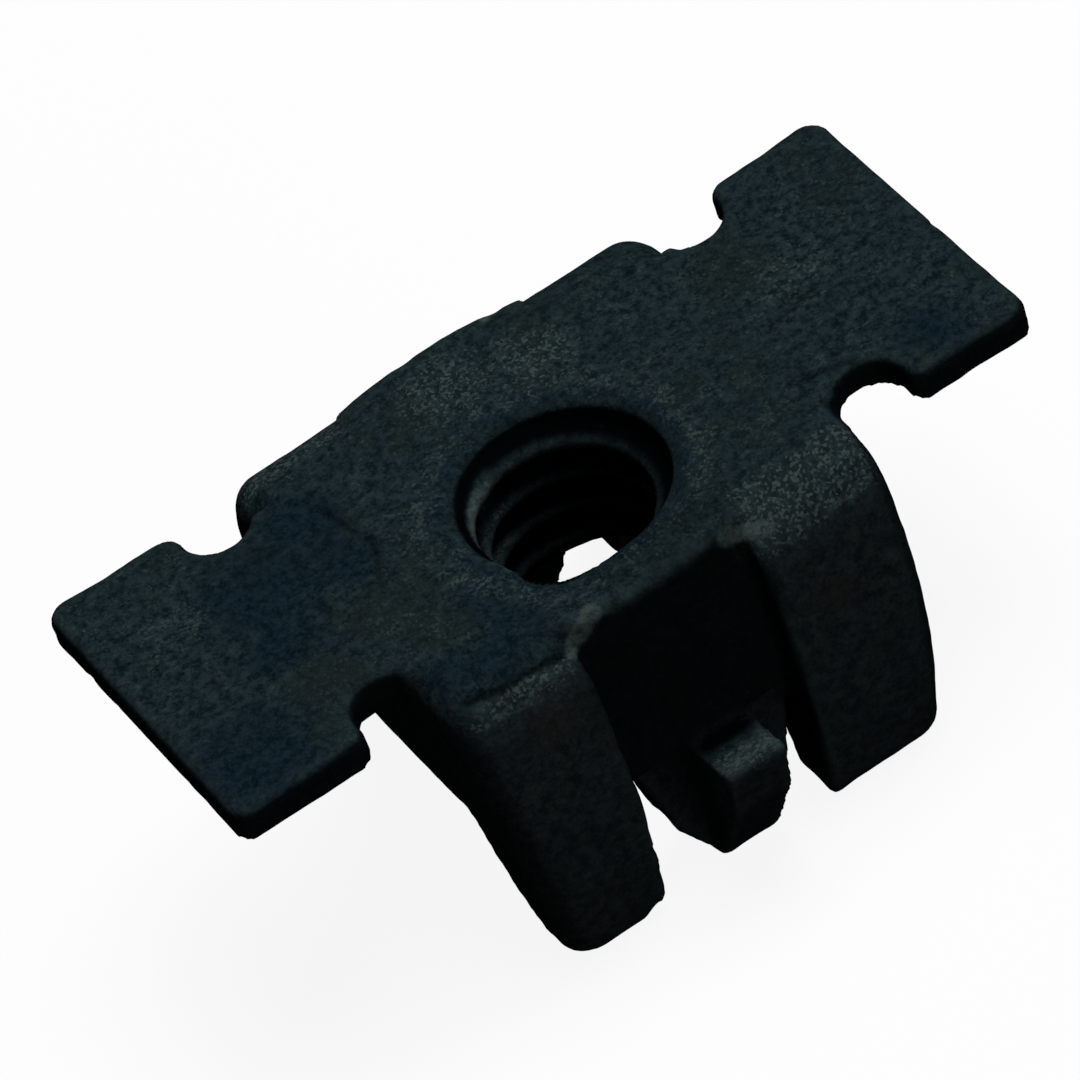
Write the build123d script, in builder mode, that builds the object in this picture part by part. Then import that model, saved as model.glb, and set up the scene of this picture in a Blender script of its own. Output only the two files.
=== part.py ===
"""Snap-in winged nut: one solid steel piece with a threaded body, two flat wings,
four corner legs and two barbed locking tongues.

The origin is on the thread axis, level with the underside of the wings, which is the
face that seats on the panel. +X runs along the wings and +Z points out of the panel,
the way the bolt leaves. The nut is drawn about the middle of its body and moved to the
thread axis at the end, because the bore lies in front of the middle. All lengths are in
millimetres.
"""
from build123d import *
from math import sqrt
import os

os.makedirs("parts", exist_ok=True)

# Wings
wing_span = 27.9          # overall length, tip to tip
wing_root_width = 11.3    # across a wing beside its relief notches
wing_flare = 0.25         # the wings are this much wider at their ends
wing_thick = 1.05         # also the height of the body above the seat
wing_setback = 0.07       # the wings sit this far behind the middle of the body
wing_tip_radius = 0.7
wing_edge_radius = 0.35

# Relief notches between the wings and the body
notch_radius = 1.1
notch_offset_share = 0.88     # centre of a notch beyond the side of the body, of its radius
notch_side_length = 0.6       # straight sides of a notch, out to the edge of the wing
notch_corner_share = 0.9      # rounding of the wing's corners beside a notch, of that length

# Body
body_depth = 5.05         # below the seat
body_top_length = 15.1    # along X at the top of the body
side_offset = 0.2         # the sides of the body and the notches lie this far to +X of the middle
body_bend_radius = 2.6    # the rolled edge from the top into the legs
body_shoulder_inset = 1.2     # the faces of the legs lean in this far up to the top, before the roll
wall_width = 14.3         # across the two walls between the pairs of legs
wall_top_width = 13.2     # across the walls at the top, where they bow out
wall_top_corner_width = 12.4  # across the walls at the ends of that bow
wall_edge_chamfer = 0.25
core_overlap = 0.3        # the core runs this far into the legs on each side

# Legs
leg_reach = 10.15         # below the seat
leg_bow_width = 15.8      # across the legs where they bow out furthest
leg_bow_depth = 5.25      # depth of that place below the seat
leg_end_width = 14.8      # across the legs at their ends
leg_end_thick = 1.7
leg_root_thick = 3.5      # where the legs leave the underside of the body
leg_side_bow = 0.2        # the outer sides of the legs bulge this much
leg_end_length = 13.4     # along X, across both legs of one pair at their ends
leg_gap = 6.0             # between the two legs of one pair
leg_gap_lean = 0.3        # the gap leans this far to -X from the top face to the leg ends
leg_corner_radius = 1.1
leg_end_radius = 0.4

# Locking tongues, one between each pair of legs
tongue_outer_width = 13.4     # across the outer faces of both tongues
tongue_thick = 1.6
tongue_root_length = 5.5      # along X at the underside of the body
tongue_end_length = 1.9       # also the length of the barb along X
tongue_clearance = 0.05       # the tongues end this far above the ends of the legs
tongue_shoulder_length = 3.9
tongue_shoulder_depth = 8.45  # depth of the tongue's shoulder below the seat

# Barb on each tongue
barb_width = 19.2         # across the outer edges of both barbs
barb_ledge_depth = 4.65   # depth of the barb's outer edge below the seat
barb_ledge_drop = 0.7     # the ledge slopes down this much towards the body
barb_nose_width = 18.2    # across the barbs at the foot of their steep noses
barb_nose_depth = 6.65
barb_end_width = 13.9

# Threaded bore
thread_major_diameter = 6.35
bore_offset = 1.38        # the bore lies this far in front of the middle of the body
bore_entry_radius = 0.7   # rounded mouth of the bore
bore_exit_chamfer = 0.45  # flare at the lower end of the bore

tongue_reach = leg_reach - tongue_clearance
shoulder_y = leg_bow_width / 2 - body_shoulder_inset
wing_tip_width = wing_root_width + wing_flare


def leg_and_body_section():
    """Section across the body and one pair of legs: half of it, mirrored about the axis."""
    inner_root = leg_bow_width / 2 - leg_root_thick
    inner_end = leg_end_width / 2 - leg_end_thick
    with BuildSketch(Plane.YZ) as section:
        with BuildLine():
            top_edge = Line((0, wing_thick), (shoulder_y, wing_thick))
            outer_face = ThreePointArc(
                top_edge @ 1,
                (leg_bow_width / 2, -leg_bow_depth),
                (leg_end_width / 2, -leg_reach),
            )
            Polyline(
                outer_face @ 1,
                (inner_end, -leg_reach),
                (inner_root, -body_depth),
                (0, -body_depth),
                (0, wing_thick),
            )
        make_face()
        shoulder = section.vertices().group_by(Axis.Y)[-1].sort_by(Axis.X)[-1]
        fillet(shoulder, radius=body_bend_radius)
        mirror(about=Plane.YZ)
    return section.sketch


def leg_side_outline():
    """Outline seen along Y: the sides of the body and legs taper and bulge a little."""
    mid_depth = (wing_thick - leg_reach) / 2
    mid_reach = (body_top_length + leg_end_length) / 4 + leg_side_bow
    with BuildSketch(Plane.XZ.shift_origin((side_offset, 0, 0))) as outline:
        with BuildLine():
            top_edge = Line((0, wing_thick), (body_top_length / 2, wing_thick))
            side = ThreePointArc(top_edge @ 1, (mid_reach, mid_depth), (leg_end_length / 2, -leg_reach))
            Polyline(side @ 1, (0, -leg_reach), (0, wing_thick))
        make_face()
        mirror(about=Plane.YZ)
    return outline.sketch


def tongue_outline(place):
    """Shield outline of a locking tongue, seen along Y."""
    with BuildSketch(place) as outline:
        with BuildLine():
            Polyline(
                (0, -body_depth),
                (tongue_root_length / 2, -body_depth),
                (tongue_shoulder_length / 2, -tongue_shoulder_depth),
                (tongue_end_length / 2, -tongue_reach),
                (0, -tongue_reach),
                close=True,
            )
        make_face()
        mirror(about=Plane.YZ)
    return outline.sketch


def barb_section():
    """Section of both barbs: a ledge that locks behind the panel and a ramp that leads in."""
    tongue_middle = (tongue_outer_width - tongue_thick) / 2
    with BuildSketch(Plane.YZ) as section:
        with BuildLine():
            Polyline(
                (tongue_middle, -barb_ledge_depth - barb_ledge_drop),
                (barb_width / 2, -barb_ledge_depth),
                (barb_nose_width / 2, -barb_nose_depth),
                (barb_end_width / 2, -tongue_reach),
                (tongue_middle, -tongue_reach),
                close=True,
            )
        make_face()
        mirror(about=Plane.YZ)
    return section.sketch


def bore_section():
    """Half section of the bore: a wall at the thread's major diameter, rounded at the top, flared below."""
    bore_radius = thread_major_diameter / 2
    mouth_start = wing_thick - bore_entry_radius
    with BuildSketch(Plane.XZ.offset(bore_offset)) as section:
        with BuildLine():
            mouth = CenterArc((bore_radius + bore_entry_radius, mouth_start), bore_entry_radius, 90, 90)
            Polyline(
                mouth @ 1,
                (bore_radius, bore_exit_chamfer - body_depth),
                (bore_radius + bore_exit_chamfer, -body_depth),
                (0, -body_depth),
                (0, wing_thick),
                mouth @ 0,
            )
        make_face()
    return section.sketch


# Wings: one flat plate whose middle lies inside the body
notch_x = body_top_length / 2 + notch_offset_share * notch_radius
notch_y = wing_root_width / 2 - notch_side_length
# The neck ends where each notch meets the side of the body
neck_half_width = notch_y - notch_radius * sqrt(1 - notch_offset_share**2)
with BuildPart() as wings:
    with BuildSketch(Plane((0, wing_setback, 0))) as wing_outline:
        with BuildLine():
            Polyline(
                (notch_x, -wing_root_width / 2),
                (wing_span / 2, -wing_tip_width / 2),
                (wing_span / 2, wing_tip_width / 2),
                (notch_x, wing_root_width / 2),
                close=True,
            )
        make_face()
        mirror(about=Plane.YZ)
        with Locations((side_offset, 0)):
            Rectangle(2 * (notch_x + notch_radius), 2 * neck_half_width)
            with GridLocations(2 * notch_x, 2 * notch_y, 2, 2):
                Circle(notch_radius, mode=Mode.SUBTRACT)
            with GridLocations(2 * notch_x, 2 * notch_y + wing_tip_width, 2, 2):
                Rectangle(2 * notch_radius, wing_tip_width, mode=Mode.SUBTRACT)
        corner_columns = wing_outline.vertices().group_by(Axis.X)
        fillet(corner_columns[0] + corner_columns[-1], radius=wing_tip_radius)
        root_corners = wing_outline.vertices().filter_by(
            lambda corner: abs(corner.Y) > (wing_root_width - notch_side_length) / 2
            and abs(corner.X) < (notch_x + wing_span / 2) / 2
        )
        fillet(root_corners, radius=notch_corner_share * notch_side_length)
    extrude(amount=wing_thick)
    fillet(wings.faces().sort_by(Axis.Z)[-1].edges(), radius=wing_edge_radius)

# Core: the middle of the body, whose flat top runs out further than the rolled shoulders.
# Its walls are straight at the bottom and bow out at the top.
with BuildPart() as core:
    core_reach = leg_gap / 2 + core_overlap
    with BuildSketch(Plane.XY.offset(-body_depth)):
        Rectangle(2 * core_reach, wall_width)
    with BuildSketch(Plane.XY.offset(wing_thick)):
        with BuildLine():
            bow = ThreePointArc(
                (-core_reach, wall_top_corner_width / 2),
                (0, wall_top_width / 2),
                (core_reach, wall_top_corner_width / 2),
            )
            Polyline(bow @ 1, (core_reach, 0), (-core_reach, 0), bow @ 0)
        make_face()
        mirror(about=Plane.XZ)
    loft()
    wall_edges = core.faces().sort_by(Axis.Z)[-1].edges().filter_by(GeomType.LINE, reverse=True)
    chamfer(wall_edges, length=wall_edge_chamfer)

with BuildPart() as centred_nut:
    # Body and legs: the section runs the whole length, then the side outline trims it
    extrude(leg_and_body_section(), amount=body_top_length, both=True)
    extrude(leg_side_outline(), amount=leg_bow_width, both=True, mode=Mode.INTERSECT)
    leg_corners = centred_nut.edges().filter_by(
        lambda edge: abs(edge.center().Y) > shoulder_y
        and edge.bounding_box().size.Z > body_depth
    )
    fillet(leg_corners, radius=leg_corner_radius)

    # Leaning gap between the legs of each pair, which the core then fills down to its underside
    with BuildSketch(Plane.XZ):
        with BuildLine():
            Polyline(
                (-leg_gap / 2, wing_thick),
                (leg_gap / 2, wing_thick),
                (leg_gap / 2 - leg_gap_lean, -leg_reach),
                (-leg_gap / 2 - leg_gap_lean, -leg_reach),
                close=True,
            )
        make_face()
    extrude(amount=leg_bow_width, both=True, mode=Mode.SUBTRACT)
    leg_ends = centred_nut.faces().group_by(Axis.Z)[0]
    fillet(leg_ends.edges(), radius=leg_end_radius)
    add(core.part)

    # Wings
    add(wings.part)

    # Tongues and their barbs
    tongue_middle = (tongue_outer_width - tongue_thick) / 2
    for side in (-1, 1):
        extrude(tongue_outline(Plane.XZ.offset(side * tongue_middle)), amount=tongue_thick / 2, both=True)
    extrude(barb_section(), amount=tongue_end_length / 2, both=True)

    # Bore with its rounded mouth and flared end
    revolve(bore_section(), axis=Axis((0, -bore_offset, 0), (0, 0, 1)), mode=Mode.SUBTRACT)

# The thread axis becomes the origin
with BuildPart() as snap_in_nut:
    with Locations((0, bore_offset, 0)):
        add(centred_nut.part)

snap_in_nut.part.label = "snap_in_nut"
export_step(snap_in_nut.part, "parts/snap_in_nut.step")
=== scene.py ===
# %% [markdown]
# # A snap-in winged nut in rough black steel
#
# The nut is one piece of steel: a threaded block with two flat wings, four bowed legs and two barbed
# tongues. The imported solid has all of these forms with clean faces. This lesson gives it what forming,
# tumbling and a phosphate bath leave behind: soft uneven edges, a lumpy skin, a real thread, and a
# mottled black finish that is rubbed paler where it stands proud.

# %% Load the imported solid
import bmesh
import bpy
import itertools
import math
import numpy as np
from mathutils import Matrix, Vector


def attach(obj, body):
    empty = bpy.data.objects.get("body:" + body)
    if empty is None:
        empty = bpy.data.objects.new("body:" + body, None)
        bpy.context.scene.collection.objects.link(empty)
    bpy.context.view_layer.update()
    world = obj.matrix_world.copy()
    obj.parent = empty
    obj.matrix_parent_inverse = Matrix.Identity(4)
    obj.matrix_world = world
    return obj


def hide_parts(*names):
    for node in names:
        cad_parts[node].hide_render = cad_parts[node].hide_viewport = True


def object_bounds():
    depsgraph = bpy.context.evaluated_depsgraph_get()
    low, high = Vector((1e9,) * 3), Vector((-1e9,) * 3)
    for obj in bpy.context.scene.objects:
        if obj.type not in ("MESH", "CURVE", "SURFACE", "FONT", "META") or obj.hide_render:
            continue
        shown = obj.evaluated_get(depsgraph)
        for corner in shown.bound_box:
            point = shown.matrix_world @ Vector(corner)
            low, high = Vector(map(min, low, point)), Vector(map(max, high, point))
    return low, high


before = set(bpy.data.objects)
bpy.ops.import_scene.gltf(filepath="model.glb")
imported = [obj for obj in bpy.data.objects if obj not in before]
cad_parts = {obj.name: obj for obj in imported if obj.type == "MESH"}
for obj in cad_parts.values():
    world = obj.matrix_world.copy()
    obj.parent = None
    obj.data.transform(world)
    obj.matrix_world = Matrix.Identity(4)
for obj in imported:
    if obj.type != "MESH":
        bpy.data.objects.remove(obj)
cad_box = [list(corner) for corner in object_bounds()]
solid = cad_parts["snap_in_nut"]
MM = 0.001
low_corner = np.array(cad_box[0]) / MM
high_corner = np.array(cad_box[1]) / MM
print("solid box in mm:", low_corner.round(2), "to", high_corner.round(2))

# %% [markdown]
# ## The thread
#
# The solid's bore is a plain hole at the thread's major diameter. A real thread is a V-shaped ridge that
# climbs round the wall. A bolt library could supply one, but a ridge is easy to sweep by hand: the same
# few section points are placed again and again, a little further round and a little higher each time.
# The ridge fades out at both ends, because there the mouth and the flare of the hole cut it away.

# %% Sweep the thread ridge
thread_major = 3.175       # radius of the wall, in millimetres like all sizes of the nut here
thread_minor = 2.56        # radius of the crest
thread_pitch = 1.27
crest_at_zero = -0.22      # height of the crest where the helix crosses the X axis, in one of its turns
thread_low = -4.55
thread_high = 0.54
fade_turns = 0.25          # the ridge fades out over this much of a turn at both ends
crest_half = 0.11
root_half = 0.6
root_depth = 0.25          # the foot of the ridge lies this deep in the wall
steps_per_turn = 72
thread_turns = (thread_high - thread_low) / thread_pitch


def thread_ridge():
    """A closed ridge with a V section that follows a right-hand helix."""
    ridge = bmesh.new()
    count = int(thread_turns * steps_per_turn)
    rings = []
    for step in range(count + 1):
        height = thread_low + step / count * (thread_high - thread_low)
        angle = (height - crest_at_zero) / thread_pitch * math.tau
        turns_left = min(thread_high - height, height - thread_low) / thread_pitch
        crest = thread_major - (thread_major - thread_minor) * min(1.0, turns_left / fade_turns)
        foot = thread_major + root_depth
        section = [(foot, -root_half), (crest, -crest_half), (crest, crest_half), (foot, root_half)]
        ring = []
        for radius, rise in section:
            place = (radius * math.cos(angle), radius * math.sin(angle), height + rise)
            ring.append(ridge.verts.new(place))
        rings.append(ring)
    for low, high in zip(rings, rings[1:]):
        for corner in range(len(low)):
            after = (corner + 1) % len(low)
            ridge.faces.new((low[corner], low[after], high[after], high[corner]))
    ridge.faces.new(rings[0][::-1])
    ridge.faces.new(rings[-1])
    bmesh.ops.recalc_face_normals(ridge, faces=ridge.faces)
    return ridge


ridge = thread_ridge()
print("thread ridge:", len(ridge.faces), "faces,", round(thread_turns, 1), "turns")

# %% [markdown]
# ## One skin over everything
#
# Formed steel has no knife-sharp edges or creases. A bevel modifier would round each edge by the same
# amount and trip over the crowded corners. A voxel remesh is kinder: it pours the solid and the ridge into
# a fine grid and draws one new closed skin round both, and a little smoothing then softens every edge and
# corner alike. The work is done in millimetres, because the grid is about a seventh of a millimetre wide.

# %% Join the solid and the thread, and draw a new skin
voxel = 0.135
weld_distance = 1e-6       # metres, for the doubled points along the solid's edges


def joined_shape():
    """The solid and the thread ridge in one mesh, in millimetres."""
    shape = bmesh.new()
    shape.from_mesh(solid.data)
    bmesh.ops.remove_doubles(shape, verts=shape.verts, dist=weld_distance)
    bmesh.ops.scale(shape, vec=(1 / MM, 1 / MM, 1 / MM), verts=shape.verts)
    ridge_mesh = bpy.data.meshes.new("thread_ridge")
    ridge.to_mesh(ridge_mesh)
    shape.from_mesh(ridge_mesh)
    bpy.data.meshes.remove(ridge_mesh)
    mesh = bpy.data.meshes.new("nut_shape")
    shape.to_mesh(mesh)
    shape.free()
    return mesh


nut = bpy.data.objects.new("nut_skin", joined_shape())
bpy.context.scene.collection.objects.link(nut)
remesh = nut.modifiers.new("skin", "REMESH")
remesh.mode = "VOXEL"
remesh.voxel_size = voxel
relax = nut.modifiers.new("relax", "SMOOTH")
relax.factor = 0.5
relax.iterations = 2
skin = bpy.data.meshes.new_from_object(nut.evaluated_get(bpy.context.evaluated_depsgraph_get()))
nut.modifiers.clear()
nut.data = skin
print("skin:", len(skin.vertices), "points,", len(skin.polygons), "faces")

# %% [markdown]
# ## Noise made by hand
#
# Lumps, pocks and waves all need a field that is random but smooth. Blender's displace modifier has such
# textures, but a few lines of array code give the same field for all points at once, always with the same
# seed, and let several sizes of lump be mixed freely. Each grid corner gets its value from its own place:
# large odd factors spread the place out, and shifts mix the bits until no pattern shows.

# %% A smooth random field
axis_factors = np.array((73856093, 19349663, 83492791))
seed_factor = 2654435761
mixing_factor = 1274126177


def ease(share):
    """A smooth step from 0 to 1, for shares that may run past either end."""
    share = np.clip(share, 0, 1)
    return share * share * (3 - 2 * share)


def corner_values(cells, seed):
    """A fixed random value from -1 to 1 for each corner of the grid."""
    mixed = np.bitwise_xor.reduce(cells * axis_factors, axis=1) ^ (seed * seed_factor)
    mixed = ((mixed ^ (mixed >> 13)) * mixing_factor) & 0xFFFFFFFF
    return ((mixed ^ (mixed >> 15)) & 0xFFFF) / 32767.5 - 1


def lumps(points, size, seed):
    """Smooth random values from -1 to 1, with lumps about this many millimetres across."""
    grid = points / size
    cell = np.floor(grid).astype(np.int64)
    share = ease(grid - cell)
    total = np.zeros(len(points))
    for corner in itertools.product((0, 1), repeat=3):
        weight = np.prod(np.where(corner, share, 1 - share), axis=1)
        total += corner_values(cell + np.array(corner), seed) * weight
    return total


def read_points(name):
    """Three numbers for each point of the skin, such as its place or its normal."""
    values = np.empty(len(skin.vertices) * 3)
    skin.vertices.foreach_get(name, values)
    return values.reshape(-1, 3)


points = read_points("co")
normals = read_points("normal")
sample = lumps(points, size=5.0, seed=1)
print("broad lumps run from", sample.min().round(2), "to", sample.max().round(2))

# %% [markdown]
# ## Where the edges are
#
# Wear finds the edges that stand proud. A shader can guess at them with pointiness, but that depends on
# the renderer. Here each point is compared with the average of its neighbours: on an outer edge the
# neighbours lie behind it, and in a corner they lie in front. The result later steers how the edges are
# moved, and is kept on the mesh as an attribute, so the material can read it anywhere.

# %% Measure how far each point stands proud
edges = np.empty(len(skin.edges) * 2, dtype=np.int64)
skin.edges.foreach_get("vertices", edges)
edges = edges.reshape(-1, 2)
neighbours = np.bincount(edges.ravel(), minlength=len(points))


def neighbour_mean(values, turns=1):
    """The average of each point's neighbours, for one value or three per point, taken several times."""
    for turn in range(turns):
        total = np.zeros_like(values)
        np.add.at(total, edges[:, 0], values[edges[:, 1]])
        np.add.at(total, edges[:, 1], values[edges[:, 0]])
        values = total / neighbours.reshape((-1,) + (1,) * (values.ndim - 1))
    return values


proud = ((points - neighbour_mean(points)) * normals).sum(axis=1) / voxel
proud = neighbour_mean(proud, turns=4)
print("proud edges:", (proud > 0.02).mean().round(3), "of the points")

# %% [markdown]
# ## Marks with a place of their own
#
# Some marks are too particular to leave to noise: the fold line where the top was pressed over into a leg,
# the scratches on a wing, a few pits on a leg. They could be sculpted by hand, but a sculpt can't be read
# or changed later. A round spot that fades with distance and a line that fades to both sides are enough
# here, and a path is several lines in a row. All give a value from 0 to 1 for every point of the skin.
# Their places are measured from the middle of the body, which lies behind the thread axis.

# %% Spots and lines
middle = (low_corner[1] + high_corner[1]) / 2
top_face = high_corner[2]
places = points - np.array((0, middle, 0))
turned_places = places * np.array((-1, -1, 1))


def spot(centre, reach, where=places):
    """1 at a centre, fading to 0 at this reach."""
    return ease(1 - np.linalg.norm(where - np.array(centre), axis=1) / reach)


def line(start, end, width, where=places):
    """1 along a line, fading to 0 at this distance from it."""
    start = np.array(start)
    run = np.array(end) - start
    share = np.clip(((where - start) @ run) / (run @ run), 0, 1)
    away = np.linalg.norm(where - start - share[:, None] * run, axis=1)
    return ease(1 - away / width)


def largest(*masks):
    """The strongest of several masks at each point."""
    return np.max(masks, axis=0)


def path(corners, width):
    """1 along a line with several corners, fading to 0 at this distance from it."""
    return largest(*[line(start, end, width) for start, end in zip(corners, corners[1:])])


def both_sides(mark, *shape):
    """The same mark on the front of the nut and, turned half round, on its back."""
    return largest(mark(*shape), mark(*shape, where=turned_places))


print("the middle of the body lies", round(middle, 2), "mm behind the thread axis")

# %% Place the marks
fold_corners = [(-6.5, -6.24, 0.56), (-5.5, -6.43, 0.46), (-4.5, -6.46, 0.43), (-3.2, -6.55, 0.35)]
fold_line = path(fold_corners, 0.26)
long_scratch = line((8.1, -0.6, top_face), (10.0, -0.2, top_face), 0.22)
short_scratch = line((7.1, -3.1, top_face), (9.0, -3.6, top_face), 0.2)
scratches = largest(long_scratch, short_scratch)
stain_corners = [(-5.7, 3.2, top_face), (-5.3, 0.6, top_face), (-6.0, -0.9, top_face)]
stain_line = path(stain_corners, 0.2)
pit_places = [(6.8, -7.6, -2.3), (6.1, -7.8, -2.9), (5.2, -7.85, -3.4)]
pits = sum(spot(place, 0.45) for place in pit_places)
corner_nick = spot((-3.5, -7.4, -10.0), 0.7)
worn_lip = spot((-2.1, -4.6, top_face), 2.4)
print("marks cover", (fold_line + scratches + pits + corner_nick > 0.1).sum(), "points")

# %% [markdown]
# ## A formed and tumbled surface
#
# The press leaves broad waves, the scale on the hot blank leaves pocks, and tumbling leaves wavy edges.
# Each is a field of its own size, moved along the normals, and the marks are pressed in on top. The edges
# also go out by a twentieth of a millimetre, which is about what the smoothing took off them. The bore
# keeps most of its true shape, because a tap cut it last, but its near rim is worn back. At the back the
# gap between the legs leans the other way than in front, which shows through the bore, so there the sides
# of the gap are pushed over. At the end nothing may stand out of the solid's box.

# %% Lumps, pocks and marks
x, y, z = places.T
out_x = np.abs(x)
out_y = np.abs(y)
axis_distance = np.hypot(points[:, 0], points[:, 1])


def below(values, limit, fade):
    """1 well below a limit, easing to 0 at it. The fade is how far below the 1 starts."""
    return ease((limit - values) / fade)


def above(values, limit, fade):
    """0 up to a limit, easing to 1 above it. The fade is how far above the 1 starts."""
    return ease((values - limit) / fade)


edge_push = 0.05           # about what the smoothing took off the edges
bore_reach = 3.3           # from the axis, which takes in the wall of the bore and the ridge
bore_share = 0.3           # how much of the lumps and marks the bore gets
waves = 0.04 * lumps(points, size=4.5, seed=11) + 0.02 * lumps(points, size=1.7, seed=12)
grain = 0.012 * lumps(points, size=0.7, seed=13) + 0.008 * lumps(points, size=0.33, seed=14)
pocks = -0.06 * above(lumps(points, size=0.8, seed=15), 0.5, 0.4)
edge_wobble = ease(proud * 12) * (edge_push + 0.035 * lumps(points, size=1.3, seed=16))
marks_and_depths = [(fold_line, 0.09), (scratches, 0.05), (pits, 0.12), (corner_nick, 0.2), (worn_lip, 0.18)]
pressed_in = sum(depth * mark for mark, depth in marks_and_depths)
move = waves + grain + pocks + edge_wobble - pressed_in
in_bore = axis_distance < bore_reach
move[in_bore] *= bore_share
print("lumps and marks move the skin by", move.min().round(3), "to", move.max().round(3), "mm")

# %% Move the skin
axis_out = points * np.array((1, 1, 0)) / axis_distance[:, None]
worn_mouth = 0.3 * spot((-2.2, -4.3, 0.9), 2.0) * below(axis_distance, 4.4, 0.5)
gap_lean = 0.65            # how far the sides of the back gap go over at the ends of the legs
tongue_trim = 0.5          # how far the back tongue's right edge goes in
at_back = above(y, 2.5, 1.0) * below(z, -4.9, 4.0)
leg_side = above(out_x, 2.4, 0.3) * below(out_x, 5.0, 1.5)
tongue_side = above(x, 0, 0.8) * below(x, 2.4, 0.1)
points = points + normals * move[:, None] + axis_out * worn_mouth[:, None]
points[:, 0] += at_back * (gap_lean * leg_side - tongue_trim * tongue_side)
points = np.clip(points, low_corner, high_corner)
skin.vertices.foreach_set("co", (points * MM).ravel())
skin.update()
skin.polygons.foreach_set("use_smooth", [True] * len(skin.polygons))
print("moved", len(points), "points")

# %% The skin stands for the solid
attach(nut, "root")
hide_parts("snap_in_nut")
print("the skin rides on the body and stands for the solid")

# %% [markdown]
# ## Masks painted on the skin
#
# The finish differs from place to place: worn pale on the rolled shoulders, the barbs and round the
# bore, and bluer in some patches. Light and shade are painted in as well: painted highlights and glints
# on the shoulders, the tops and the thread flanks, and near-black painted shade in the set-back walls,
# on the faces that look down, on the sides and in the bore. Vertex paint would do this with a brush. Here
# each mask is worked out from where a point lies and which way it faces, which is the same thing with
# numbers. The masks are soft, and the material breaks up the borders of most of them later.

# %% Painted shade in recesses, on down-facing faces and at the barb roots, and the flanks
facing_up = neighbour_mean(normals[:, 2], turns=2)
flank = 1 - above(facing_up, 0.25, 0.5)
# Painted shade: the walls set back between the legs, the faces that look down and the inner root of each
# barb are painted near black, where shadow falls on them.
recess_shade = below(out_x, 3.5, 0.5) * above(out_y, 5.6, 0.6) * below(out_y, 7.9, 0.7)
recess_shade *= flank * below(z, 0.9, 0.3) * (0.82 - 0.72 * below(z, -5.2, 0.5))
underside_shade = 0.5 * below(facing_up, 0, 0.5)
barb_root_shadow = below(out_x, 3.0, 0.3) * below(out_y, 8.3, 0.4) * above(out_y, 6.0, 0.3)
barb_root_shadow *= 1.08 * below(z, -4.3, 0.2) * above(facing_up, 0.5, 0.3)
shade_and_dark_marks = neighbour_mean(largest(recess_shade, underside_shade, barb_root_shadow), turns=2)
print("sheltered coat on", (shade_and_dark_marks > 0.5).mean().round(2), "of the skin")

# %% More painted shade, and dark lines
thread_crest = below(axis_distance, 2.95, 0.3) * np.clip(0.75 - 0.13 * x, 0, 1)
# Painted shade: the wall of the bore and its grooves, the faces that look sideways and the ends of the wings
# are painted near black, because the lamps leave them in shade. A darker band runs along the front of the
# top, and the fold line, the stain and the scratches add dark lines.
bore_shade = 1.08 * below(axis_distance, 3.7, 0.15) * below(z, 0.85, 0.1)
bore_shade *= 1 - 0.8 * thread_crest
side_shade = 0.45 * above(np.abs(normals[:, 0]), 0.35, 0.3) * below(z, 0.3, 0.3)
side_shade *= below(out_y, 8.2, 0.5)
wing_side_shade = 0.8 * above(out_x, 7.2, 0.4) * below(facing_up, 0.75, 0.2)
darker_front = 0.3 * line((-0.5, -5.6, 1.0), (2.8, -5.4, 1.0), 1.5)
dark_lines = largest(0.75 * ease(fold_line * 2 - 0.7), 0.6 * stain_line, 0.6 * scratches)
shade_and_dark_marks = largest(shade_and_dark_marks, bore_shade, side_shade, wing_side_shade, darker_front, dark_lines)
print("thick coat on", (shade_and_dark_marks > 0.5).mean().round(2), "of the skin")

# %% Worn places and painted highlights
# Partly wear and partly painted highlight: the rolled shoulders and the right bend are paler and carry more
# specks, standing in for the glints of light on their bends, and the thread crests and flanks that face the
# light are painted pale.
shoulder_start = np.where(x * y > 0, 6.1, 4.9)
shoulder = 0.75 * above(out_y, shoulder_start, 0.7) * above(z, -0.6, 0.9)
shoulder *= above(out_x, 3.0, 0.4) * below(out_x, 7.9, 0.5)
rim_radius = 3.9           # about where the rounded mouth of the bore meets the top
rim_distance = axis_distance - rim_radius
rim = 0.45 * ease(1 - np.abs(rim_distance - 0.3) / 1.3) * above(z, 0.6, 0.3)
behind_bore = 0.8 * largest(spot((2.2, 3.7, top_face), 2.8), spot((-0.4, 4.6, top_face), 3.0))
wing_middle = 0.5 * largest(spot((9.6, 0.6, top_face), 3.2), spot((-11.5, 2.2, top_face), 2.6))
barb_edge = both_sides(line, (-0.7, -8.95, -4.78), (0.75, -8.95, -4.78), 0.95)
right_bend = 1.2 * line((3.6, -6.5, 0.3), (6.9, -6.3, 0.4), 1.6)
upper_shine = line((-3.0, -0.7, 0.4), (-1.6, 1.2, -0.1), 1.1)
lower_shine = 0.9 * line((-2.2, 0.8, -2.0), (-1.1, 1.5, -1.8), 0.9)
flank_shine = largest(upper_shine, lower_shine) * below(axis_distance, 3.6, 0.2) * below(z, 0.65, 0.2)
thread_flank = largest(flank_shine, 0.45 * in_bore * thread_crest)
worn_and_highlight = largest(shoulder, rim, behind_bore, wing_middle, barb_edge, thread_flank, right_bend)
print("rubbed on", (worn_and_highlight > 0.4).mean().round(2), "of the skin")

# %% Chips where the coat is gone, and painted highlights on the thread flanks
left_chip = both_sides(line, (-2.1, -6.28, 0.96), (-3.05, -6.55, 0.36), 0.5)
right_chip = both_sides(line, (2.4, -6.42, 0.6), (3.65, -6.65, 0.26), 0.45)
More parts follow.
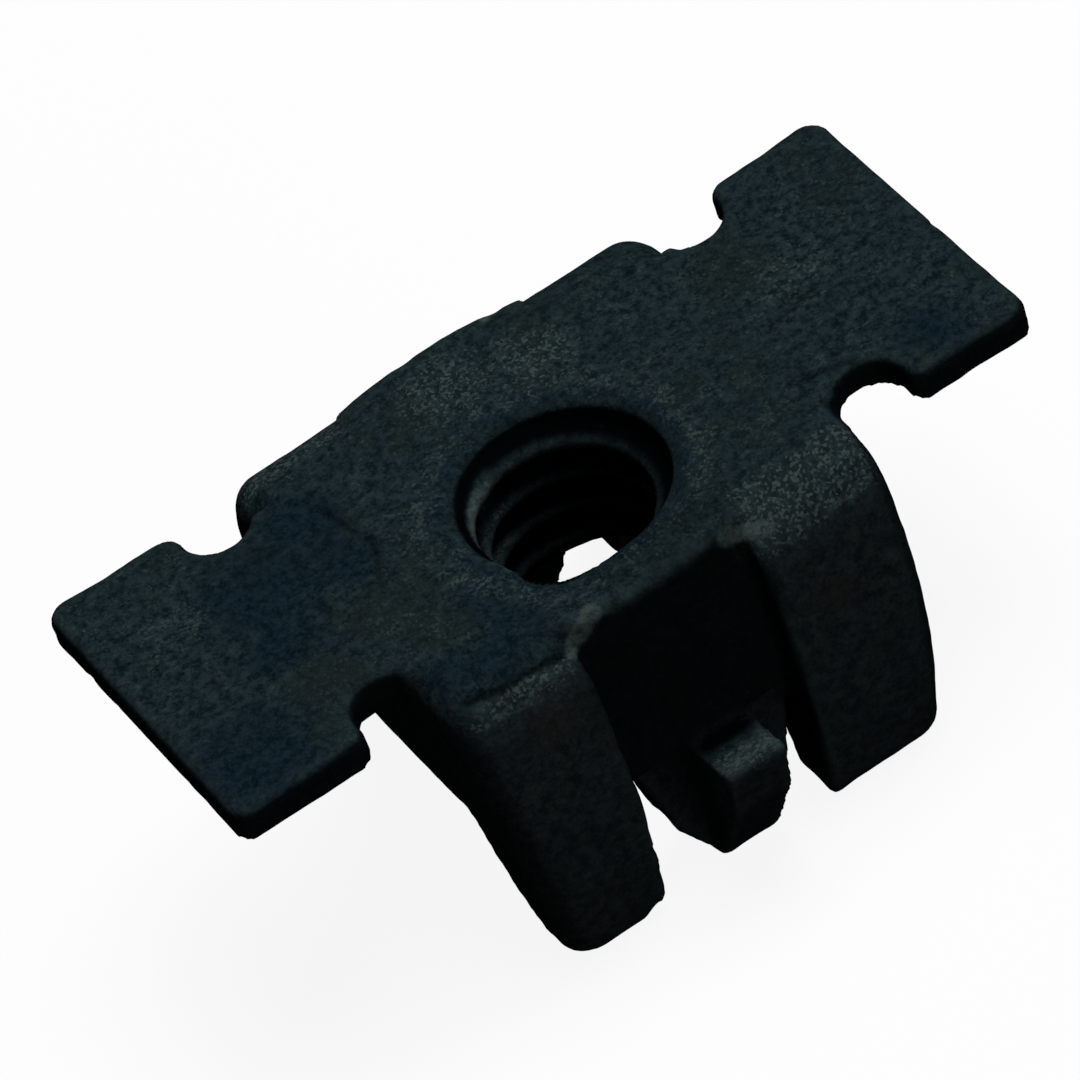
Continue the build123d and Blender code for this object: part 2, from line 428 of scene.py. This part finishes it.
# Chips at the ends of the wall tops and on the barbs show the metal; the lit thread flanks get the same pale
# tone as a painted highlight.
bare_and_highlight = largest(1.2 * left_chip, 1.2 * right_chip, 0.5 * barb_edge, 0.8 * flank_shine)
shade_and_dark_marks = shade_and_dark_marks * (1 - ease(thread_flank * 1.5)) * (1 - ease(bare_and_highlight * 1.4))
print("bare on", (bare_and_highlight > 0.4).mean().round(3), "of the skin")

# %% Blue, brown and olive patches
blue_spots = [((-6.6, 3.0, top_face), 2.6), ((-8.7, 1.4, top_face), 3.6), ((-6.4, 0.8, top_face), 2.0),
              ((-9.4, -0.8, top_face), 2.3), ((-4.2, -3.6, top_face), 1.6), ((-3.9, -5.0, 1.0), 1.6),
              ((-5.0, -5.6, 0.9), 1.6), ((-6.3, -5.3, 1.0), 1.5), ((-12.2, -4.0, top_face), 3.4),
              ((11.4, -4.3, top_face), 1.8)]
blue_rim = 0.7 * ease(1 - np.abs(rim_distance + 0.2) / 0.5) * above(z, 0.3, 0.3)
blue = largest(*[spot(centre, reach) for centre, reach in blue_spots], blue_rim)
brown = largest(both_sides(spot, (4.6, -7.8, -2.6), 1.3), both_sides(spot, (-4.5, -7.5, -0.8), 1.6))
olive_band = line((-6.8, -1.8, top_face), (-5.4, -3.8, top_face), 1.5)
olive = largest(olive_band, spot((-9.2, -2.6, top_face), 1.8), 0.8 * spot((8.6, 2.2, top_face), 2.6))
blue = blue * (1 - 0.7 * olive)
# The faces that look up get a little of this mask too, which mostly adds painted glints to the tops.
top_glints_and_wear = 0.25 * (1 - ease(blue * 1.5)) * above(facing_up, 0.8, 0.1)
worn_and_highlight = largest(worn_and_highlight, top_glints_and_wear, 0.35 * olive)
print("blue on", (blue > 0.4).mean().round(2), "and brown on", (brown > 0.4).mean().round(3), "of the skin")

# %% Keep the masks as attributes
masks = {"edge_wear": ease(proud * 14), "shade_and_dark_marks": shade_and_dark_marks, "flank": flank,
         "worn_and_highlight": worn_and_highlight, "bare_and_highlight": bare_and_highlight, "blue": blue, "brown": brown, "olive": olive}
for name, values in masks.items():
    attribute = skin.attributes.new(name, "FLOAT", "POINT")
    attribute.data.foreach_set("value", values.astype(np.float32))
print("attributes:", list(masks))

# %% [markdown]
# ## Small helpers for node trees
#
# Materials can be wired by hand in the shader editor, but a script has to name every node and link. A few
# helpers keep that short: each makes one node and fills its inputs with numbers or links. Most hand back
# the output socket, so that nodes can be written one inside another like a sum.

# %% Node helpers
mix_colour_inputs = (6, 7)    # a Mix node has sockets for every kind of data, and these are for colours
mix_colour_output = 2


def node(tree, kind, **settings):
    """A new node with some of its properties and inputs set."""
    made = tree.nodes.new(kind)
    for name, value in settings.items():
        if name in made.inputs:
            made.inputs[name].default_value = value
        else:
            setattr(made, name, value)
    return made


def ramp(tree, source, low, high):
    """A 0 to 1 mask that rises as the source goes from low to high."""
    made = node(tree, "ShaderNodeMapRange", interpolation_type="SMOOTHSTEP")
    made.inputs["From Min"].default_value = low
    made.inputs["From Max"].default_value = high
    tree.links.new(source, made.inputs["Value"])
    return made.outputs["Result"]


def noise(tree, vector, lumps_per_mm, detail, roughness):
    """A noise texture over a position in millimetres."""
    made = node(tree, "ShaderNodeTexNoise", Scale=lumps_per_mm, Detail=detail, Roughness=roughness)
    tree.links.new(vector, made.inputs["Vector"])
    return made.outputs["Fac"]


def math_node(tree, operation, first, second):
    """One sum of two sockets or numbers."""
    made = node(tree, "ShaderNodeMath", operation=operation)
    for slot, value in enumerate((first, second)):
        if isinstance(value, (int, float)):
            made.inputs[slot].default_value = value
        else:
            tree.links.new(value, made.inputs[slot])
    return made.outputs[0]


def blend_colour(tree, mask, first, second):
    """A colour that goes from first to second as the mask goes from 0 to 1."""
    made = node(tree, "ShaderNodeMix", data_type="RGBA")
    tree.links.new(mask, made.inputs["Factor"])
    for slot, value in zip(mix_colour_inputs, (first, second)):
        if isinstance(value, tuple):
            made.inputs[slot].default_value = (*value, 1)
        else:
            tree.links.new(value, made.inputs[slot])
    return made.outputs[mix_colour_output]


print("helpers ready")

# %% [markdown]
# ## Group: phosphate crystals
#
# Phosphate grows as fine crystals, so the black is never even: it is mottled at the size of a few crystals,
# drifts from patch to patch, and glitters where crystals catch the light, which is painted in as pale
# specks. All of it follows from the position on the part: four noises make the mottling, the patches and
# the bump, and a mosaic of tiny cells, each with a random value, places the painted glints. A group keeps
# the sizes in one place, and gives out plain masks.

# %% Build the crystal group


def phosphate_group():
    """Mottling, patches, painted glint specks and height of a phosphate coat, from a position in
    millimetres.
    """
    tree = bpy.data.node_groups.new("phosphate_crystals", "ShaderNodeTree")
    tree.interface.new_socket("Position", in_out="INPUT", socket_type="NodeSocketVector")
    for name in ("Mottle", "Patches", "Glints", "Olive", "Height"):
        tree.interface.new_socket(name, in_out="OUTPUT", socket_type="NodeSocketFloat")
    position = tree.nodes.new("NodeGroupInput").outputs["Position"]
    result = tree.nodes.new("NodeGroupOutput")
    broad = noise(tree, position, lumps_per_mm=0.45, detail=6, roughness=0.72)
    fine = noise(tree, position, lumps_per_mm=2.8, detail=4, roughness=0.78)
    crystals = noise(tree, position, lumps_per_mm=6.5, detail=3, roughness=0.75)
    olive = noise(tree, position, lumps_per_mm=0.5, detail=7, roughness=0.75)
    facets = node(tree, "ShaderNodeTexVoronoi", Scale=11.5)
    tree.links.new(position, facets.inputs["Vector"])
    facet = node(tree, "ShaderNodeSeparateColor")
    tree.links.new(facets.outputs["Color"], facet.inputs["Color"])
    tree.links.new(ramp(tree, fine, 0.34, 0.66), result.inputs["Mottle"])
    tree.links.new(ramp(tree, broad, 0.36, 0.62), result.inputs["Patches"])
    tree.links.new(ramp(tree, facet.outputs["Red"], 0.5, 1.0), result.inputs["Glints"])
    tree.links.new(ramp(tree, olive, 0.5, 0.66), result.inputs["Olive"])
    tree.links.new(math_node(tree, "ADD", fine, crystals), result.inputs["Height"])
    return tree


phosphate = phosphate_group()
print("group:", phosphate.name, "with", len(phosphate.nodes), "nodes")

# %% [markdown]
# ## Group: ragged borders
#
# A mask painted on points has soft, round borders, and real wear and stains don't. Adding noise to the mask
# before it is cut off at a level makes the border wander, with islands on both sides. The same group serves
# for every stain and worn place, each with its own size of noise.

# %% Build the border group


def border_group():
    """Turns a soft mask into one with ragged borders."""
    tree = bpy.data.node_groups.new("ragged_border", "ShaderNodeTree")
    tree.interface.new_socket("Position", in_out="INPUT", socket_type="NodeSocketVector")
    tree.interface.new_socket("Amount", in_out="INPUT", socket_type="NodeSocketFloat")
    tree.interface.new_socket("Lumps per mm", in_out="INPUT", socket_type="NodeSocketFloat")
    tree.interface.new_socket("Mask", in_out="OUTPUT", socket_type="NodeSocketFloat")
    given = tree.nodes.new("NodeGroupInput")
    result = tree.nodes.new("NodeGroupOutput")
    broken = node(tree, "ShaderNodeTexNoise", Detail=6, Roughness=0.7)
    tree.links.new(given.outputs["Position"], broken.inputs["Vector"])
    tree.links.new(given.outputs["Lumps per mm"], broken.inputs["Scale"])
    rough = math_node(tree, "MULTIPLY", broken.outputs["Fac"], 1.4)
    raised = math_node(tree, "ADD", given.outputs["Amount"], rough)
    tree.links.new(ramp(tree, raised, 0.85, 1.5), result.inputs["Mask"])
    return tree


ragged = border_group()
print("group:", ragged.name, "with", len(ragged.nodes), "nodes")

# %% [markdown]
# ## The black steel
#
# The colours of the coat are written very dark, in linear values. The material starts from two mottled
# blacks, a teal one for the tops, whose teal is a painted sheen of the cool light from above, and a greyer
# one for the flanks, and lays one mask after another over them, among them painted shade and painted
# highlights. The crystals also raise a bump, which makes the shading grainy. The coat has no gloss at all:
# even a little would mirror the white surroundings in the sides of the legs, and they are darker than the
# tops, so its glints are painted into the colour. The roughness is still written, for renderers that give
# every surface some gloss.

# %% Colours of the coat
# The tops are teal as a painted sheen of cool light from above; the flanks are the greyer coat.
top_sheen_dark = (0.0022, 0.0068, 0.0098)
top_sheen_pale = (0.0172, 0.0318, 0.0360)
grey_dark = (0.0062, 0.0080, 0.0090)
grey_pale = (0.0175, 0.0225, 0.0240)
patch_dark = (0.0075, 0.0135, 0.0172)
olive_tone = (0.0100, 0.0155, 0.0122)
blue_dark = (0.0020, 0.0068, 0.0125)
blue_pale = (0.0068, 0.0158, 0.0245)
brown_tone = (0.0165, 0.0160, 0.0135)
# Worn pale coat, also used as a painted highlight.
worn_and_highlight_tone = (0.0260, 0.0380, 0.0390)
# Pale specks of painted glint.
glint_tone = (0.0530, 0.0760, 0.0730)
# Near-black painted shade, also used for the dark lines.
shade_and_mark_tone = (0.0009, 0.0013, 0.0015)
# Pale metal of the chips, also used as a painted highlight.
bare_and_highlight_tone = (0.0520, 0.0740, 0.0680)
print("the palest tone is", round(max(glint_tone) / max(shade_and_mark_tone)), "times as bright as the thick coat")

# %% Make the material
coat_roughness = 0.8
rubbed_roughness = 0.6
bump_strength = 0.6
bump_height = 0.00006      # metres


def black_steel():
    """Black phosphate on steel: mottled, stained and worn, with painted sheen, shade, highlights and glints,
    and a crystal bump.
    """
    material = bpy.data.materials.new("black_phosphate")
    material.use_nodes = True
    tree = material.node_tree
    shader = tree.nodes["Principled BSDF"]
    place = node(tree, "ShaderNodeMapping", Scale=(1 / MM, 1 / MM, 1 / MM))
    tree.links.new(node(tree, "ShaderNodeTexCoord").outputs["Object"], place.inputs["Vector"])
    position = place.outputs["Vector"]
    crystals = node(tree, "ShaderNodeGroup", node_tree=phosphate)
    tree.links.new(position, crystals.inputs["Position"])

    def painted(name):
        return node(tree, "ShaderNodeAttribute", attribute_name=name).outputs["Fac"]

    def stained(name, lumps_per_mm):
        border = node(tree, "ShaderNodeGroup", node_tree=ragged)
        border.inputs["Lumps per mm"].default_value = lumps_per_mm
        tree.links.new(position, border.inputs["Position"])
        tree.links.new(painted(name), border.inputs["Amount"])
        return border.outputs["Mask"]

    def part_of(mask, share):
        return math_node(tree, "MULTIPLY", mask, share)

    mottle = crystals.outputs["Mottle"]
    worn_and_highlight = stained("worn_and_highlight", 1.6)
    top = blend_colour(tree, mottle, top_sheen_dark, top_sheen_pale)
    side = blend_colour(tree, mottle, grey_dark, grey_pale)
    blue = blend_colour(tree, mottle, blue_dark, blue_pale)
    # The tops take the teal painted sheen and the flanks the grey.
    colour = blend_colour(tree, painted("flank"), top, side)
    colour = blend_colour(tree, part_of(crystals.outputs["Patches"], 0.35), colour, patch_dark)
    colour = blend_colour(tree, part_of(crystals.outputs["Olive"], 0.5), colour, olive_tone)
    colour = blend_colour(tree, part_of(stained("olive", 1.4), 0.5), colour, olive_tone)
    colour = blend_colour(tree, part_of(stained("blue", 0.9), 0.75), colour, blue)
    colour = blend_colour(tree, part_of(stained("brown", 1.2), 0.4), colour, brown_tone)
    # Wear and painted highlight: the shoulders, bends, barbs and lit thread flanks go paler.
    colour = blend_colour(tree, part_of(worn_and_highlight, 0.15), colour, worn_and_highlight_tone)
    # Painted glints: pale specks where crystals would catch the light, most where the wear and highlight
    # mask is strong.
    painted_glints = math_node(tree, "ADD", part_of(worn_and_highlight, 0.75), 0.08)
    painted_glints = math_node(tree, "MULTIPLY", crystals.outputs["Glints"], painted_glints)
    colour = blend_colour(tree, painted_glints, colour, glint_tone)
    colour = blend_colour(tree, part_of(stained("edge_wear", 1.1), 0.12), colour, worn_and_highlight_tone)
    # Painted shade: the set-back walls, down-facing faces, sides and bore go near black here, together with
    # the dark lines.
    colour = blend_colour(tree, part_of(painted("shade_and_dark_marks"), 0.95), colour, shade_and_mark_tone)
    # Chips of metal, plus the same pale tone as a painted highlight on the lit thread flanks.
    chips_and_highlight = math_node(tree, "ADD", part_of(mottle, 0.6), 0.25)
    chips_and_highlight = math_node(tree, "MULTIPLY", stained("bare_and_highlight", 2.5), chips_and_highlight)
    colour = blend_colour(tree, chips_and_highlight, colour, bare_and_highlight_tone)
    tree.links.new(colour, shader.inputs["Base Color"])
    bump = node(tree, "ShaderNodeBump", Strength=bump_strength, Distance=bump_height)
    tree.links.new(crystals.outputs["Height"], bump.inputs["Height"])
    tree.links.new(bump.outputs["Normal"], shader.inputs["Normal"])
    smoother = node(tree, "ShaderNodeMapRange")
    smoother.inputs["To Min"].default_value = coat_roughness
    smoother.inputs["To Max"].default_value = rubbed_roughness
    tree.links.new(worn_and_highlight, smoother.inputs["Value"])
    tree.links.new(smoother.outputs["Result"], shader.inputs["Roughness"])
    shader.inputs["Specular IOR Level"].default_value = 0.0
    return material


skin.materials.clear()
skin.materials.append(black_steel())
print("material:", skin.materials[0].name)

# %% [markdown]
# ## Floor and surroundings
#
# The nut stands on a plain white floor. A truly white floor would throw so much light up under the legs that
# their shade is lost. So the floor is only a dim grey to the light, and a glow that the camera and the
# reflections see, but the light doesn't, makes it white. The same is done for the world behind it.

# %% Glow that only the eye sees


def seen_directly(tree):
    """1 for what the camera, a reflection or a clear body sees, and 0 for light that bounces."""
    rays = node(tree, "ShaderNodeLightPath")
    seen = math_node(tree, "MAXIMUM", rays.outputs["Is Camera Ray"], rays.outputs["Is Glossy Ray"])
    return math_node(tree, "MAXIMUM", seen, rays.outputs["Is Transmission Ray"])


def floor_material(grey):
    """White to the eye, dim grey to the light, and still able to take a shadow."""
    material = bpy.data.materials.new("white_floor")
    material.use_nodes = True
    tree = material.node_tree
    shader = tree.nodes["Principled BSDF"]
    shader.inputs["Base Color"].default_value = (grey, grey, grey, 1)
    shader.inputs["Roughness"].default_value = 1.0
    shader.inputs["Specular IOR Level"].default_value = 0.0
    shader.inputs["Emission Color"].default_value = (1, 1, 1, 1)
    glow = math_node(tree, "MULTIPLY", seen_directly(tree), 1 - grey)
    tree.links.new(glow, shader.inputs["Emission Strength"])
    return material


print("floor material ready")

# %% Floor and world
floor_grey = 0.10
floor_half = 2.0           # metres
floor_height = cad_box[0][2]
dim_sky = 0.012
floor_mesh = bpy.data.meshes.new("floor")
floor_corners = [(-floor_half, -floor_half), (floor_half, -floor_half),
                 (floor_half, floor_half), (-floor_half, floor_half)]
floor_mesh.from_pydata([(*corner, floor_height) for corner in floor_corners], [], [(0, 1, 2, 3)])
floor_mesh.materials.append(floor_material(floor_grey))
floor = bpy.data.objects.new("floor", floor_mesh)
bpy.context.scene.collection.objects.link(floor)
world = bpy.data.worlds.new("studio")
bpy.context.scene.world = world
world.use_nodes = True
sky = world.node_tree.nodes["Background"]
sky.inputs["Color"].default_value = (1, 1, 1, 1)
sky_level = math_node(world.node_tree, "MAXIMUM", seen_directly(world.node_tree), dim_sky)
world.node_tree.links.new(sky_level, sky.inputs["Strength"])
print("floor at", round(floor_height / MM, 2), "mm")

# %% [markdown]
# ## Light
#
# The tops are evenly lit while the legs fall off to black, so the main light is a wide soft panel overhead,
# a little to the right, which also reaches the left wall of the bore. A weak panel in front and a weaker
# one on the left keep the faces and the sides of the legs from going quite black.

# %% Lights


def soft_panel(name, place, size, watts):
    """A square area light that faces the nut, with its place and size in metres."""
    lamp = bpy.data.lights.new(name, "AREA")
    lamp.size = size
    lamp.energy = watts
    panel = bpy.data.objects.new(name, lamp)
    panel.location = place
    panel.rotation_euler = (-Vector(place)).to_track_quat("-Z", "Y").to_euler()
    bpy.context.scene.collection.objects.link(panel)


soft_panel("overhead_panel", place=(0.10, 0.06, 0.40), size=0.30, watts=1.75)
soft_panel("front_panel", place=(0.12, -0.42, 0.08), size=0.20, watts=0.40)
soft_panel("left_panel", place=(-0.30, -0.25, 0.08), size=0.20, watts=0.10)

# %% [markdown]
# ## Camera
#
# The nut was seen from above at about 44 degrees with the camera tilted, through a long lens. The viewing
# direction is written as three angles, and the lens as a focal length in picture widths. The sight line is
# turned a little off the middle of the nut so that the nut falls where it should in the square picture,
# which needs no lens shift.

# %% Work out where the camera stands
picture = 1080                    # pixels along a side of the square picture
azimuth = math.radians(-18.487)
elevation = math.radians(43.619)
roll = math.radians(-19.98)
focal_widths = 7.5
pixels_per_mm = 34.229            # at the middle of the body
middle_pixel = (544.06, 484.2)    # where the middle of the body falls in the picture
back = Vector((math.sin(azimuth) * math.cos(elevation), -math.cos(azimuth) * math.cos(elevation),
               math.sin(elevation)))
level = Vector((math.cos(azimuth), math.sin(azimuth), 0))
upward = back.cross(level)
right = math.cos(roll) * level + math.sin(roll) * upward
top = -math.sin(roll) * level + math.cos(roll) * upward
place = Vector((0, middle * MM, 0)) + back * (focal_widths * picture / pixels_per_mm * MM)
sight = -focal_widths * picture * back
sight += (picture / 2 - middle_pixel[0]) * right + (middle_pixel[1] - picture / 2) * top
print("camera", round(place.length / MM), "mm from the nut")

# %% Place the camera
sensor = 36                       # millimetres
axis_back = -sight.normalized()
axis_right = top.cross(axis_back).normalized()
axis_up = axis_back.cross(axis_right)
lens = bpy.data.cameras.new("camera")
lens.sensor_width = sensor
lens.lens = focal_widths * sensor
lens.clip_start = 0.01
lens.clip_end = 20
camera = bpy.data.objects.new("camera", lens)
camera.matrix_world = Matrix((
    (axis_right.x, axis_up.x, axis_back.x, place.x),
    (axis_right.y, axis_up.y, axis_back.y, place.y),
    (axis_right.z, axis_up.z, axis_back.z, place.z),
    (0, 0, 0, 1),
))
bpy.context.scene.collection.objects.link(camera)
bpy.context.scene.camera = camera
bpy.context.scene.view_settings.view_transform = "Standard"
print("lens of", lens.lens, "mm")
